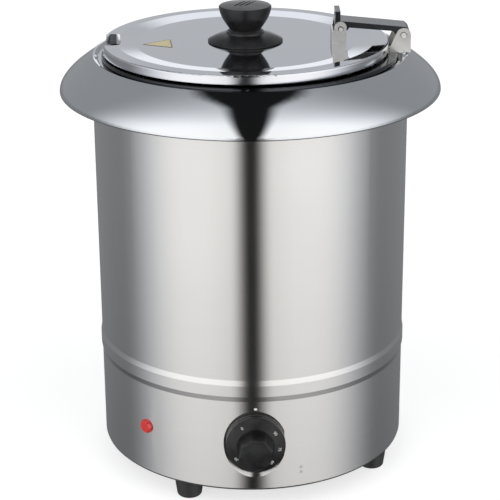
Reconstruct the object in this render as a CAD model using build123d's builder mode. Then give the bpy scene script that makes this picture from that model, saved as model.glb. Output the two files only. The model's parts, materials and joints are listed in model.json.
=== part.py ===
"""Soup kettle: a wet-heat buffet kettle with a hinged lid and a lift-out pot.

Millimetres, +Z up. The origin is on the floor under the kettle's axis, the front faces -Y and
the lid hinge is on the +X side.
"""
import os
from math import cos, radians, sin, sqrt

from build123d import *

# ---------------------------------------------------------------- driving dimensions
SHEET = 1.0                    # body, well and collar sheet
POT_SHEET = 0.9                # inner pot sheet
LID_SHEET = 0.8                # lid sheet

FOOT_HEIGHT = 19.0
FOOT_TOP_RADIUS = 13.6
FOOT_BOTTOM_RADIUS = 11.0
FOOT_CIRCLE_RADIUS = 126.0     # feet stand on this circle
FOOT_FIRST_ANGLE = -117.5      # degrees from +X; four feet, 90 degrees apart

BASE_PLATE_EDGE = 2.0          # visible black edge under the casing
BODY_RADIUS = 142.0            # outside of the casing
BODY_BOTTOM = FOOT_HEIGHT + BASE_PLATE_EDGE
BODY_TOP = 384.0
BEAD_LOW = 106.7
BEAD_HIGH = 127.1
BEAD_SLOPE = 5.0
BEAD_PROUD = 1.0

LIP_RADIUS = 171.3             # widest point of the collar
LIP_HEIGHT = 355.5
CREST_RADIUS = 140.6
CREST_HEIGHT = 387.3
FLARE_SLOPE = 33.0             # the collar's slope at its crest, degrees below level
FLARE_REACH = 29.8             # how far the crest's slope carries on before the lip turns down
LIP_DROP = 6.5                 # how far the lip's upright end carries on upward
LEDGE_HEIGHT = 384.0           # flat inner ledge of the collar
LEDGE_RADIUS = 136.0
COLLAR_BORE_RADIUS = 120.8

WELL_RADIUS = 130.0            # outside of the water well
WELL_FLOOR = 117.0
WELL_FLANGE_RADIUS = 134.0

POT_RADIUS = 118.4             # outside of the pot wall
POT_FLOOR = 133.0
POT_FLANGE_TOP = 387.9
POT_CURL_RADIUS = 1.8
POT_CURL_CENTRE = 131.2        # radius at which the edge is curled

LID_X = -4.0                   # the lid sits a little off the kettle's axis
LID_RADIUS = 128.0
LID_TOP = 397.8
LID_FLAT = 396.0
LID_SKIRT_BOTTOM = 390.2
LID_SLOPE_OUTER = 115.0
LID_SLOPE_INNER = 98.0
NOTCH_RADIUS = 111.0           # the ladle notch reaches in to here
NOTCH_WIDTH = 42.0
NOTCH_LIP_BOTTOM = 388.6

KNOB_SKIRT_RADIUS = 33.5
KNOB_NECK_RADIUS = 13.8
KNOB_CAP_RADIUS = 23.5
KNOB_TOP = 430.0

PLATE = 1.5                    # hinge sheet
EAR_INNER = 12.8               # half distance between the ears' inner faces
PIVOT_X = 80.5                 # lid pivot
PIVOT_Z = 409.0
PIN_X = 136.3                  # rim hinge pin
PIN_Z = 403.2
PIN_RADIUS = 2.5
RUNNING_FIT = 0.05

DIAL_X = 2.6
DIAL_Z = 65.0
DIAL_RADIUS = 26.5
RECESS_RADIUS = 28.0           # flat pressed into the casing for the thermostat
RECESS_SLOPE = 4.6             # how far the recess wall runs outward

LAMP_ANGLE = -132.5            # degrees from +X
LAMP_Z = 65.6
LAMP_RADIUS = 6.6

GLAND_Z = 62.0                 # rear cord bushing
GLAND_BORE_RADIUS = 4.0

os.makedirs("parts", exist_ok=True)


# ---------------------------------------------------------------- helpers
def save(part, name):
    """Label a finished piece and write it under its node name."""
    part.label = name
    export_step(part, "parts/" + name + ".step")


def around(radius, angle, z=0.0):
    """Point on a circle round the kettle's axis."""
    return (radius * cos(radians(angle)), radius * sin(radians(angle)), z)


def radial_plane(radius, angle, z):
    """Plane on a circle round the axis, facing outward, with its x direction level."""
    outward = (cos(radians(angle)), sin(radians(angle)), 0)
    level = (-sin(radians(angle)), cos(radians(angle)), 0)
    return Plane(origin=around(radius, angle, z), x_dir=level, z_dir=outward)


def front_plane(y):
    """Plane facing the front, with x to the right and y up."""
    return Plane(origin=(0, y, 0), x_dir=(1, 0, 0), z_dir=(0, -1, 0))


# ---------------------------------------------------------------- casing
RECESS_DEPTH_Y = sqrt(BODY_RADIUS ** 2 - RECESS_RADIUS ** 2)   # flat face, measured from the axis
WALL_INSIDE = BODY_RADIUS - SHEET
COLLAR_SCREW_Z = 372.0
COLLAR_SCREW_ANGLES = [45, 135, 225, 315]
BASE_SCREW_ANGLES = [20, 70, 110, 160]   # all on the rear half
BASE_SCREW_Z = 34.0
SIDE_RIVET_ANGLE = -72.3
SIDE_RIVET_HEIGHTS = [34.1, 39.0]
SCREW_RADIUS = 2.0
SCREW_HOLE_RADIUS = 2.05
RIVET_RADIUS = 1.2
RIVET_HOLE_RADIUS = 1.25


def recess_tool(extra):
    """Dished cutter for the thermostat flat; extra moves its surface into the kettle."""
    slope = RECESS_SLOPE / (BODY_RADIUS - RECESS_DEPTH_Y)
    reach = 8.0
    bottom = RECESS_DEPTH_Y - extra
    bottom_radius = RECESS_RADIUS + extra * (sqrt(1 + slope ** 2) - slope)
    with BuildPart() as tool:
        with BuildSketch(front_plane(-bottom)):
            with Locations((DIAL_X, DIAL_Z)):
                Circle(bottom_radius)
        with BuildSketch(front_plane(-bottom - reach)):
            with Locations((DIAL_X, DIAL_Z)):
                Circle(bottom_radius + reach * slope)
        loft()
    return tool.part


def casing_solid(radius, extra, low, high):
    """Filled casing shape with its bead, less the thermostat recess."""
    with BuildPart() as filled:
        with BuildSketch(Plane.XZ):
            with BuildLine():
                Polyline(
                    (0, low),
                    (radius, low),
                    (radius, BEAD_LOW),
                    (radius + BEAD_PROUD, BEAD_LOW + BEAD_SLOPE),
                    (radius + BEAD_PROUD, BEAD_HIGH - BEAD_SLOPE),
                    (radius, BEAD_HIGH),
                    (radius, high),
                    (0, high),
                    close=True,
                )
            make_face()
        revolve(axis=Axis.Z)
        add(recess_tool(extra), mode=Mode.SUBTRACT)
    return filled.part


def drill(radius, angle, z):
    """Round hole through the casing wall at an angle and height."""
    with BuildSketch(radial_plane(BODY_RADIUS - 8, angle, z)) as hole:
        Circle(radius)
    extrude(hole.sketch, amount=14, mode=Mode.SUBTRACT)


LAMP_HOLE_RADIUS = 5.1
GLAND_ANGLE = 90
GLAND_HOLE_RADIUS = 8.1
SHAFT_HOLE_RADIUS = 5.2
THERMOSTAT_SCREW_OFFSET = 14.0

with BuildPart() as body_casing:
    add(casing_solid(BODY_RADIUS, 0, BODY_BOTTOM, BODY_TOP))
    add(casing_solid(WALL_INSIDE, SHEET, BODY_BOTTOM - 1, BODY_TOP + 1), mode=Mode.SUBTRACT)
    for angle in COLLAR_SCREW_ANGLES:
        drill(SCREW_HOLE_RADIUS, angle, COLLAR_SCREW_Z)
    for angle in BASE_SCREW_ANGLES:
        drill(SCREW_HOLE_RADIUS, angle, BASE_SCREW_Z)
    for height in SIDE_RIVET_HEIGHTS:
        drill(RIVET_HOLE_RADIUS, SIDE_RIVET_ANGLE, height)
    drill(LAMP_HOLE_RADIUS, LAMP_ANGLE, LAMP_Z)
    drill(GLAND_HOLE_RADIUS, GLAND_ANGLE, GLAND_Z)
    with BuildSketch(front_plane(-RECESS_DEPTH_Y - 4)):
        with Locations((DIAL_X, DIAL_Z)):
            Circle(SHAFT_HOLE_RADIUS)
        with Locations(
            (DIAL_X - THERMOSTAT_SCREW_OFFSET, DIAL_Z),
            (DIAL_X + THERMOSTAT_SCREW_OFFSET, DIAL_Z),
        ):
            Circle(SCREW_HOLE_RADIUS)
    extrude(amount=-10, mode=Mode.SUBTRACT)
save(body_casing.part, "body_casing")

# ---------------------------------------------------------------- rim collar


def flare(depth):
    """Control points of the collar's flare, at a depth under its outer face."""
    slope = radians(FLARE_SLOPE)
    crest = (CREST_RADIUS - depth * sin(slope), CREST_HEIGHT - depth * cos(slope))
    reach = FLARE_REACH - depth / 2
    lip = (LIP_RADIUS - depth, LIP_HEIGHT)
    return [
        crest,
        (crest[0] + reach * cos(slope), crest[1] - reach * sin(slope)),
        (lip[0], lip[1] + LIP_DROP),
        lip,
    ]


COLLAR_SKIRT_BOTTOM = 376.0
LEDGE_CORNER = 1.6
HEM_RADIUS = 1.3

with BuildPart() as rim_collar:
    with BuildSketch(Plane.XZ):
        with BuildLine():
            Bezier(*flare(0))
            Line((CREST_RADIUS, CREST_HEIGHT), (CREST_RADIUS - 1.6, CREST_HEIGHT - 0.5))
            Line((CREST_RADIUS - 1.6, CREST_HEIGHT - 0.5), (LEDGE_RADIUS, LEDGE_HEIGHT))
            Line((LEDGE_RADIUS, LEDGE_HEIGHT), (COLLAR_BORE_RADIUS + LEDGE_CORNER, LEDGE_HEIGHT))
            CenterArc(
                (COLLAR_BORE_RADIUS + LEDGE_CORNER, LEDGE_HEIGHT - LEDGE_CORNER), LEDGE_CORNER, 90, 90
            )
            Line((COLLAR_BORE_RADIUS, LEDGE_HEIGHT - LEDGE_CORNER), (COLLAR_BORE_RADIUS, COLLAR_SKIRT_BOTTOM))
            Line(
                (COLLAR_BORE_RADIUS, COLLAR_SKIRT_BOTTOM),
                (COLLAR_BORE_RADIUS + SHEET, COLLAR_SKIRT_BOTTOM),
            )
            Line(
                (COLLAR_BORE_RADIUS + SHEET, COLLAR_SKIRT_BOTTOM),
                (COLLAR_BORE_RADIUS + SHEET, LEDGE_HEIGHT - SHEET),
            )
            Line(
                (COLLAR_BORE_RADIUS + SHEET, LEDGE_HEIGHT - SHEET),
                (LEDGE_RADIUS + 0.4, LEDGE_HEIGHT - SHEET),
            )
            Line((LEDGE_RADIUS + 0.4, LEDGE_HEIGHT - SHEET), flare(SHEET)[0])
            Bezier(*flare(SHEET))
            Line((LIP_RADIUS - SHEET, LIP_HEIGHT), (LIP_RADIUS, LIP_HEIGHT))
        make_face()
        with Locations((LIP_RADIUS - HEM_RADIUS, LIP_HEIGHT)):
            Circle(HEM_RADIUS)
    revolve(axis=Axis.Z)
save(rim_collar.part, "rim_collar")

# ---------------------------------------------------------------- collar brackets and screws
BRACKET_ARC = 9
BRACKET_BOTTOM = 362.0
WELL_FLANGE_TOP = LEDGE_HEIGHT - SHEET
WELL_FLANGE_UNDER = WELL_FLANGE_TOP - SHEET

with BuildPart() as collar_brackets:
    with BuildSketch(Plane.XZ):
        with BuildLine():
            Polyline(
                (WALL_INSIDE, BRACKET_BOTTOM),
                (WALL_INSIDE, WELL_FLANGE_UNDER),
                (WELL_RADIUS + 0.5, WELL_FLANGE_UNDER),
                (WELL_RADIUS + 0.5, WELL_FLANGE_UNDER - SHEET),
                (WALL_INSIDE - SHEET, WELL_FLANGE_UNDER - SHEET),
                (WALL_INSIDE - SHEET, BRACKET_BOTTOM),
                close=True,
            )
        make_face()
    revolve(axis=Axis.Z, revolution_arc=BRACKET_ARC)
one_bracket = collar_brackets.part
with BuildPart() as collar_brackets:
    for angle in COLLAR_SCREW_ANGLES:
        add(one_bracket.rotate(Axis.Z, angle - BRACKET_ARC / 2))
    for angle in COLLAR_SCREW_ANGLES:
        drill(SCREW_HOLE_RADIUS, angle, COLLAR_SCREW_Z)
save(collar_brackets.part, "collar_brackets")


def radial_screw(angle, z, head_radius, head_height, shank_radius, depth):
    """Pan-headed screw or rivet driven inward through the casing wall."""
    with BuildSketch(radial_plane(BODY_RADIUS - depth, angle, z)) as shank:
        Circle(shank_radius)
    extrude(shank.sketch, amount=depth)
    with BuildSketch(radial_plane(BODY_RADIUS, angle, z)) as head:
        Circle(head_radius)
    extrude(head.sketch, amount=head_height, taper=18)


with BuildPart() as collar_screws:
    for angle in COLLAR_SCREW_ANGLES:
        radial_screw(angle, COLLAR_SCREW_Z, 3.6, 1.8, SCREW_RADIUS, 6)
save(collar_screws.part, "collar_screws")

with BuildPart() as base_screws:
    for angle in BASE_SCREW_ANGLES:
        radial_screw(angle, BASE_SCREW_Z, 3.6, 1.8, SCREW_RADIUS, 6)
save(base_screws.part, "base_screws")

with BuildPart() as side_rivets:
    for height in SIDE_RIVET_HEIGHTS:
        radial_screw(SIDE_RIVET_ANGLE, height, 1.6, 0.6, RIVET_RADIUS, 3)
save(side_rivets.part, "side_rivets")

# ---------------------------------------------------------------- water well
WELL_CORNER = 8.0
WELL_INSIDE = WELL_RADIUS - SHEET

with BuildPart() as water_well:
    with BuildSketch(Plane.XZ):
        with BuildLine():
            Line((0, WELL_FLOOR), (WELL_RADIUS - WELL_CORNER, WELL_FLOOR))
            CenterArc(
                (WELL_RADIUS - WELL_CORNER, WELL_FLOOR + WELL_CORNER), WELL_CORNER, 270, 90
            )
            Line((WELL_RADIUS, WELL_FLOOR + WELL_CORNER), (WELL_RADIUS, WELL_FLANGE_UNDER))
            Line((WELL_RADIUS, WELL_FLANGE_UNDER), (WELL_FLANGE_RADIUS, WELL_FLANGE_UNDER))
            Line((WELL_FLANGE_RADIUS, WELL_FLANGE_UNDER), (WELL_FLANGE_RADIUS, WELL_FLANGE_TOP))
            Line((WELL_FLANGE_RADIUS, WELL_FLANGE_TOP), (WELL_INSIDE, WELL_FLANGE_TOP))
            Line((WELL_INSIDE, WELL_FLANGE_TOP), (WELL_INSIDE, WELL_FLOOR + WELL_CORNER))
            CenterArc(
                (WELL_RADIUS - WELL_CORNER, WELL_FLOOR + WELL_CORNER),
                WELL_CORNER - SHEET,
                270,
                90,
            )
            Line((WELL_RADIUS - WELL_CORNER, WELL_FLOOR + SHEET), (0, WELL_FLOOR + SHEET))
            Line((0, WELL_FLOOR + SHEET), (0, WELL_FLOOR))
        make_face()
    revolve(axis=Axis.Z)
save(water_well.part, "water_well")

# ---------------------------------------------------------------- inner pot
POT_CORNER = 14.0
POT_INSIDE = POT_RADIUS - POT_SHEET
POT_BEND = 3.0                 # outside bend under the flange
POT_FLANGE_UNDER = POT_FLANGE_TOP - POT_SHEET
POT_BEND_Z = POT_FLANGE_UNDER - POT_BEND
POT_CURL_Z = POT_FLANGE_TOP - POT_CURL_RADIUS
RIM_RIVET_X = 126.6
RIM_RIVET_Y = 7.5
RIM_RIVET_RADIUS = 1.5
RIM_RIVET_HOLE = 1.55

with BuildPart() as inner_pot:
    with BuildSketch(Plane.XZ):
        with BuildLine():
            Line((0, POT_FLOOR), (POT_RADIUS - POT_CORNER, POT_FLOOR))
            CenterArc((POT_RADIUS - POT_CORNER, POT_FLOOR + POT_CORNER), POT_CORNER, 270, 90)
            Line((POT_RADIUS, POT_FLOOR + POT_CORNER), (POT_RADIUS, POT_BEND_Z))
            CenterArc((POT_RADIUS + POT_BEND, POT_BEND_Z), POT_BEND, 90, 90)
            Line((POT_RADIUS + POT_BEND, POT_FLANGE_UNDER), (POT_CURL_CENTRE, POT_FLANGE_UNDER))
            Line((POT_CURL_CENTRE, POT_FLANGE_UNDER), (POT_CURL_CENTRE, POT_FLANGE_TOP))
            Line((POT_CURL_CENTRE, POT_FLANGE_TOP), (POT_RADIUS + POT_BEND, POT_FLANGE_TOP))
            CenterArc((POT_RADIUS + POT_BEND, POT_BEND_Z), POT_BEND + POT_SHEET, 90, 90)
            Line((POT_INSIDE, POT_BEND_Z), (POT_INSIDE, POT_FLOOR + POT_CORNER))
            CenterArc(
                (POT_RADIUS - POT_CORNER, POT_FLOOR + POT_CORNER), POT_CORNER - POT_SHEET, 270, 90
            )
            Line((POT_RADIUS - POT_CORNER, POT_FLOOR + POT_SHEET), (0, POT_FLOOR + POT_SHEET))
            Line((0, POT_FLOOR + POT_SHEET), (0, POT_FLOOR))
        make_face()
        with Locations((POT_CURL_CENTRE, POT_CURL_Z)):
            Circle(POT_CURL_RADIUS)
    revolve(axis=Axis.Z)
    with BuildSketch(Plane.XY.offset(POT_FLANGE_TOP + 1)):
        with Locations((RIM_RIVET_X, RIM_RIVET_Y), (RIM_RIVET_X, -RIM_RIVET_Y)):
            Circle(RIM_RIVET_HOLE)
    extrude(amount=-4, mode=Mode.SUBTRACT)
save(inner_pot.part, "inner_pot")

# ---------------------------------------------------------------- rim bracket, its rivets and pin
EAR_OUTER = EAR_INNER + PLATE
EAR_RADIUS = 6.5
EAR_FOOT_X = 124.4
EAR_BACK_X = PIN_X + EAR_RADIUS
RING_RADIUS = 3.4              # dark ring round each pin end
RING_DEPTH = 0.5
BASE_INNER_X = 122.0


def both_ears(outline, inner, outer):
    """Extrude an outline drawn on the XZ plane into two ears, one each side of the hinge."""
    for side in (1, -1):
        near_face = outline.moved(Location((0, side * inner, 0)))
        extrude(near_face, amount=outer - inner, dir=(0, side, 0))


def rim_ear():
    """Outline of one ear of the rim bracket."""
    with BuildSketch(Plane.XZ) as ear:
        with BuildLine():
            Line((EAR_FOOT_X, POT_FLANGE_TOP), (EAR_BACK_X, POT_FLANGE_TOP))
            Line((EAR_BACK_X, POT_FLANGE_TOP), (EAR_BACK_X, PIN_Z))
            CenterArc((PIN_X, PIN_Z), EAR_RADIUS, 0, 150)
            Line(
                (PIN_X + EAR_RADIUS * cos(radians(150)), PIN_Z + EAR_RADIUS * sin(radians(150))),
                (EAR_FOOT_X, POT_FLANGE_TOP + 4.6),
            )
            Line((EAR_FOOT_X, POT_FLANGE_TOP + 4.6), (EAR_FOOT_X, POT_FLANGE_TOP))
        make_face()
    return ear.sketch


def disc(x, z, radius, y=0.0):
    """Round outline about a hinge axis, in the plane at y."""
    with BuildSketch(Plane.XZ.offset(-y)) as round_face:
        with Locations((x, z)):
            Circle(radius)
    return round_face.sketch


def pin_holes(x, z, radius, half_width):
    """Bore through both ears, with a shallow ring sunk round each outer mouth."""
    extrude(disc(x, z, radius), amount=half_width + 1, both=True, mode=Mode.SUBTRACT)
    for side in (1, -1):
        mouth = disc(x, z, RING_RADIUS, side * half_width)
        extrude(mouth, amount=RING_DEPTH, dir=(0, -side, 0), mode=Mode.SUBTRACT)


with BuildPart() as rim_bracket:
    with BuildSketch(Plane.XY.offset(POT_FLANGE_TOP)):
        with Locations(((BASE_INNER_X + EAR_BACK_X) / 2, 0)):
            Rectangle(EAR_BACK_X - BASE_INNER_X, 2 * EAR_INNER)
    extrude(amount=PLATE)
    both_ears(rim_ear(), EAR_INNER, EAR_OUTER)
    pin_holes(PIN_X, PIN_Z, PIN_RADIUS + RUNNING_FIT, EAR_OUTER)
    with BuildSketch(Plane.XY.offset(POT_FLANGE_TOP - 1)):
        with Locations((RIM_RIVET_X, RIM_RIVET_Y), (RIM_RIVET_X, -RIM_RIVET_Y)):
            Circle(RIM_RIVET_HOLE)
    extrude(amount=4, mode=Mode.SUBTRACT)
save(rim_bracket.part, "rim_bracket")

with BuildPart() as rim_bracket_rivets:
    with BuildSketch(Plane.XY.offset(POT_FLANGE_UNDER - 1.0)):
        with Locations((RIM_RIVET_X, RIM_RIVET_Y), (RIM_RIVET_X, -RIM_RIVET_Y)):
            Circle(2.3)
    extrude(amount=1.0)
    with BuildSketch(Plane.XY.offset(POT_FLANGE_UNDER)):
        with Locations((RIM_RIVET_X, RIM_RIVET_Y), (RIM_RIVET_X, -RIM_RIVET_Y)):
            Circle(RIM_RIVET_RADIUS)
    extrude(amount=POT_SHEET + PLATE)
    with BuildSketch(Plane.XY.offset(POT_FLANGE_TOP + PLATE)):
        with Locations((RIM_RIVET_X, RIM_RIVET_Y), (RIM_RIVET_X, -RIM_RIVET_Y)):
            Circle(2.4)
    extrude(amount=0.5)
save(rim_bracket_rivets.part, "rim_bracket_rivets")


def headed_pin(x, z, radius, head_radius, half_width, head_height):
    """Pin across the hinge with a domed head against each ear's sunk ring."""
    extrude(disc(x, z, radius), amount=half_width, both=True)
    for side in (1, -1):
        seat = disc(x, z, head_radius, side * (half_width - RING_DEPTH))
        extrude(seat, amount=head_height, dir=(0, side, 0), taper=20)


with BuildPart() as hinge_pin:
    headed_pin(PIN_X, PIN_Z, PIN_RADIUS, 2.9, EAR_OUTER, 1.4)
save(hinge_pin.part, "hinge_pin")

# ---------------------------------------------------------------- hinge arm
ARM_HALF_WIDTH = EAR_INNER - 0.5
ARM_TOP_INNER = 416.0          # height of the arm's top at the lid end
ARM_TOP_OUTER = 410.2          # and at the rim end
ARM_TOP_START_X = 80.2
ARM_TOP_END_X = 138.6
ARM_NOSE_X = 141.4
ARM_FLANGE = 4.8
LOBE_RADIUS = 5.6
STOP_X = 75.6                  # upright stop at the lid end
STOP_DEPTH = 4.6
STOP_TOP = 424.5
STOP_BOTTOM = 404.5
PIVOT_RADIUS = 2.0


def arm_cheek():
    """Side outline of the arm: sloping flange, pivot lobes and the upright stop."""
    with BuildSketch(Plane.XZ) as cheek:
        with BuildLine():
            Polyline(
                (STOP_X, ARM_TOP_INNER - ARM_FLANGE),
                (STOP_X, ARM_TOP_INNER),
                (ARM_TOP_START_X, ARM_TOP_INNER),
                (ARM_TOP_END_X, ARM_TOP_OUTER),
                (ARM_NOSE_X, ARM_TOP_OUTER - 2.8),
                (ARM_NOSE_X, ARM_TOP_OUTER - ARM_FLANGE),
                close=True,
            )
        make_face()
        with Locations((PIVOT_X, PIVOT_Z), (PIN_X, PIN_Z)):
            Circle(LOBE_RADIUS)
        with BuildLine():
            Polyline(
                (PIVOT_X - LOBE_RADIUS * 0.8, ARM_TOP_INNER - 1),
                (PIVOT_X + LOBE_RADIUS + 5, ARM_TOP_INNER - 2),
                (PIVOT_X + LOBE_RADIUS * 0.7, PIVOT_Z - LOBE_RADIUS * 0.7),
                close=True,
            )
        make_face()
        with BuildLine():
            Polyline(
                (PIN_X + LOBE_RADIUS * 0.8, ARM_TOP_OUTER - 3),
                (PIN_X - LOBE_RADIUS - 5, ARM_TOP_OUTER - 2),
                (PIN_X - LOBE_RADIUS * 0.7, PIN_Z - LOBE_RADIUS * 0.7),
                close=True,
            )
        make_face()
        with Locations((STOP_X + STOP_DEPTH / 2, (STOP_BOTTOM + STOP_TOP) / 2)):
            Rectangle(STOP_DEPTH, STOP_TOP - STOP_BOTTOM)
    return cheek.sketch


with BuildPart() as hinge_arm:
    both_ears(arm_cheek(), ARM_HALF_WIDTH - PLATE, ARM_HALF_WIDTH)
    with BuildSketch(Plane.XZ.offset(-ARM_HALF_WIDTH)):
        with BuildLine():
            Polyline(
                (ARM_TOP_START_X - PLATE, ARM_TOP_INNER),
                (ARM_TOP_START_X, ARM_TOP_INNER),
                (ARM_TOP_END_X, ARM_TOP_OUTER),
                (ARM_NOSE_X, ARM_TOP_OUTER - 2.8),
                (ARM_NOSE_X, ARM_TOP_OUTER - 2.8 - PLATE),
                (ARM_TOP_END_X - 0.6, ARM_TOP_OUTER - PLATE),
                (ARM_TOP_START_X - PLATE, ARM_TOP_INNER - PLATE),
                close=True,
            )
        make_face()
        with BuildLine():
            Polyline(
                (STOP_X, STOP_BOTTOM),
                (STOP_X, STOP_TOP),
                (STOP_X + STOP_DEPTH, STOP_TOP),
                (STOP_X + STOP_DEPTH, STOP_TOP - PLATE),
                (STOP_X + PLATE, STOP_TOP - PLATE),
                (STOP_X + PLATE, STOP_BOTTOM),
                close=True,
            )
        make_face()
    extrude(amount=2 * ARM_HALF_WIDTH)
    for x, z, radius in ((PIVOT_X, PIVOT_Z, PIVOT_RADIUS), (PIN_X, PIN_Z, PIN_RADIUS)):
        bore = disc(x, z, radius + RUNNING_FIT)
        extrude(bore, amount=ARM_HALF_WIDTH + 1, both=True, mode=Mode.SUBTRACT)
save(hinge_arm.part, "hinge_arm")

# ---------------------------------------------------------------- lid
LID_EDGE = 1.5                 # outside radius of the lid's rolled shoulder
NOTCH_CORNER = 6.0
NOTCH_REACH = 30.0
LID_RIVET_X = 80.0
LID_RIVET_Y = 7.0
LID_RIVET_RADIUS = 1.5
LID_RIVET_HOLE = 1.55
KNOB_SCREW_RADIUS = 2.0
KNOB_SCREW_HOLE = 2.05
LID_UNDER = LID_FLAT - LID_SHEET


def notch_outline(grow):
    """Plan of the ladle notch, with its inner corners rounded, grown by an amount."""
    with BuildSketch(Plane.XY) as notch:
        with Locations((LID_X - NOTCH_RADIUS - NOTCH_REACH / 2, 0)):
            Rectangle(NOTCH_REACH + 2 * grow, NOTCH_WIDTH + 2 * grow)
        fillet(notch.vertices().group_by(Axis.X)[-1], NOTCH_CORNER + grow)
    return notch.sketch


with BuildPart() as lid:
    with BuildSketch(Plane.XZ):
        with BuildLine():
            Line((0, LID_UNDER), (0, LID_FLAT))
            Line((0, LID_FLAT), (LID_SLOPE_INNER, LID_FLAT))
            Line((LID_SLOPE_INNER, LID_FLAT), (LID_SLOPE_OUTER, LID_TOP))
            Line((LID_SLOPE_OUTER, LID_TOP), (LID_RADIUS - LID_EDGE, LID_TOP))
            CenterArc((LID_RADIUS - LID_EDGE, LID_TOP - LID_EDGE), LID_EDGE, 0, 90)
            Line((LID_RADIUS, LID_TOP - LID_EDGE), (LID_RADIUS, LID_SKIRT_BOTTOM))
            Line((LID_RADIUS, LID_SKIRT_BOTTOM), (LID_RADIUS - LID_SHEET, LID_SKIRT_BOTTOM))
            Line(
                (LID_RADIUS - LID_SHEET, LID_SKIRT_BOTTOM),
                (LID_RADIUS - LID_SHEET, LID_TOP - LID_EDGE),
            )
            CenterArc((LID_RADIUS - LID_EDGE, LID_TOP - LID_EDGE), LID_EDGE - LID_SHEET, 0, 90)
            Line((LID_RADIUS - LID_EDGE, LID_TOP - LID_SHEET), (LID_SLOPE_OUTER, LID_TOP - LID_SHEET))
            Line((LID_SLOPE_OUTER, LID_TOP - LID_SHEET), (LID_SLOPE_INNER, LID_UNDER))
            Line((LID_SLOPE_INNER, LID_UNDER), (0, LID_UNDER))
        make_face()
    revolve(axis=Axis.Z)
    add(lid.part.moved(Location((LID_X, 0, 0))), mode=Mode.REPLACE)
    extrude(
        notch_outline(LID_SHEET).moved(Location((0, 0, NOTCH_LIP_BOTTOM))),
        amount=LID_TOP - LID_SHEET / 2 - NOTCH_LIP_BOTTOM,
    )
    with BuildSketch(Plane.XY.offset(NOTCH_LIP_BOTTOM - 1)):
        with Locations((LID_X, 0)):
            Circle(LID_RADIUS)
    extrude(amount=LID_TOP - NOTCH_LIP_BOTTOM + 2, mode=Mode.INTERSECT)
    extrude(
        notch_outline(0).moved(Location((0, 0, NOTCH_LIP_BOTTOM - 1))),
        amount=LID_TOP - NOTCH_LIP_BOTTOM + 2,
        mode=Mode.SUBTRACT,
    )
    with BuildSketch(Plane.XY.offset(LID_UNDER - 1)):
        with Locations((LID_X, 0)):
            Circle(KNOB_SCREW_HOLE)
        with Locations((LID_RIVET_X, LID_RIVET_Y), (LID_RIVET_X, -LID_RIVET_Y)):
            Circle(LID_RIVET_HOLE)
    extrude(amount=3, mode=Mode.SUBTRACT)
save(lid.part, "lid")

# ---------------------------------------------------------------- lid bracket, rivets and pivot pin
WEB_X = 72.6
LID_EAR_RADIUS = 5.4
LID_EAR_X = WEB_X + 13.0       # outer edge of the ears
LID_EAR_ARC_X = LID_EAR_X - LID_EAR_RADIUS
LID_EAR_ARC_Z = 410.4
WEB_TOP = 407.5


def lid_ear():
    """Outline of one ear of the lid bracket."""
    with BuildSketch(Plane.XZ) as ear:
        with BuildLine():
            Line((WEB_X, LID_FLAT), (LID_EAR_X, LID_FLAT))
            Line((LID_EAR_X, LID_FLAT), (LID_EAR_X, LID_EAR_ARC_Z))
            CenterArc((LID_EAR_ARC_X, LID_EAR_ARC_Z), LID_EAR_RADIUS, 0, 180)
            Line(
                (LID_EAR_ARC_X - LID_EAR_RADIUS, LID_EAR_ARC_Z),
                (LID_EAR_ARC_X - LID_EAR_RADIUS, WEB_TOP),
            )
            Line((LID_EAR_ARC_X - LID_EAR_RADIUS, WEB_TOP), (WEB_X, WEB_TOP))
            Line((WEB_X, WEB_TOP), (WEB_X, LID_FLAT))
        make_face()
    return ear.sketch


with BuildPart() as lid_bracket:
    both_ears(lid_ear(), EAR_INNER, EAR_OUTER)
    with BuildSketch(Plane.XY.offset(LID_FLAT)):
        with Locations(((WEB_X + LID_EAR_X) / 2, 0)):
            Rectangle(LID_EAR_X - WEB_X, 2 * EAR_INNER)
    extrude(amount=PLATE)
    with BuildSketch(Plane.XY.offset(LID_FLAT)):
        with Locations((WEB_X + PLATE / 2, 0)):
            Rectangle(PLATE, 2 * EAR_INNER)
    extrude(amount=WEB_TOP - LID_FLAT)
    pin_holes(PIVOT_X, PIVOT_Z, PIVOT_RADIUS + RUNNING_FIT, EAR_OUTER)
    with BuildSketch(Plane.XY.offset(LID_FLAT - 1)):
        with Locations((LID_RIVET_X, LID_RIVET_Y), (LID_RIVET_X, -LID_RIVET_Y)):
            Circle(LID_RIVET_HOLE)
    extrude(amount=4, mode=Mode.SUBTRACT)
save(lid_bracket.part, "lid_bracket")

with BuildPart() as lid_bracket_rivets:
    with BuildSketch(Plane.XY.offset(LID_UNDER)):
        with Locations((LID_RIVET_X, LID_RIVET_Y), (LID_RIVET_X, -LID_RIVET_Y)):
            Circle(LID_RIVET_RADIUS)
    extrude(amount=LID_SHEET + PLATE)
    with BuildSketch(Plane.XY.offset(LID_FLAT + PLATE)):
        with Locations((LID_RIVET_X, LID_RIVET_Y), (LID_RIVET_X, -LID_RIVET_Y)):
            Circle(2.6)
    extrude(amount=1.1, taper=25)
    with BuildSketch(Plane.XY.offset(LID_UNDER)):
        with Locations((LID_RIVET_X, LID_RIVET_Y), (LID_RIVET_X, -LID_RIVET_Y)):
            Circle(2.6)
    extrude(amount=-1.1)
save(lid_bracket_rivets.part, "lid_bracket_rivets")

with BuildPart() as lid_pivot_pin:
    headed_pin(PIVOT_X, PIVOT_Z, PIVOT_RADIUS, 2.5, EAR_OUTER, 1.4)
save(lid_pivot_pin.part, "lid_pivot_pin")

# ---------------------------------------------------------------- lid knob, its skirt and screw
KNOB_SEAT = 405.4              # where the knob's neck meets the skirt
KNOB_CAP_RIM = 428.0
GROOVE_DEPTH = 0.5

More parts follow.
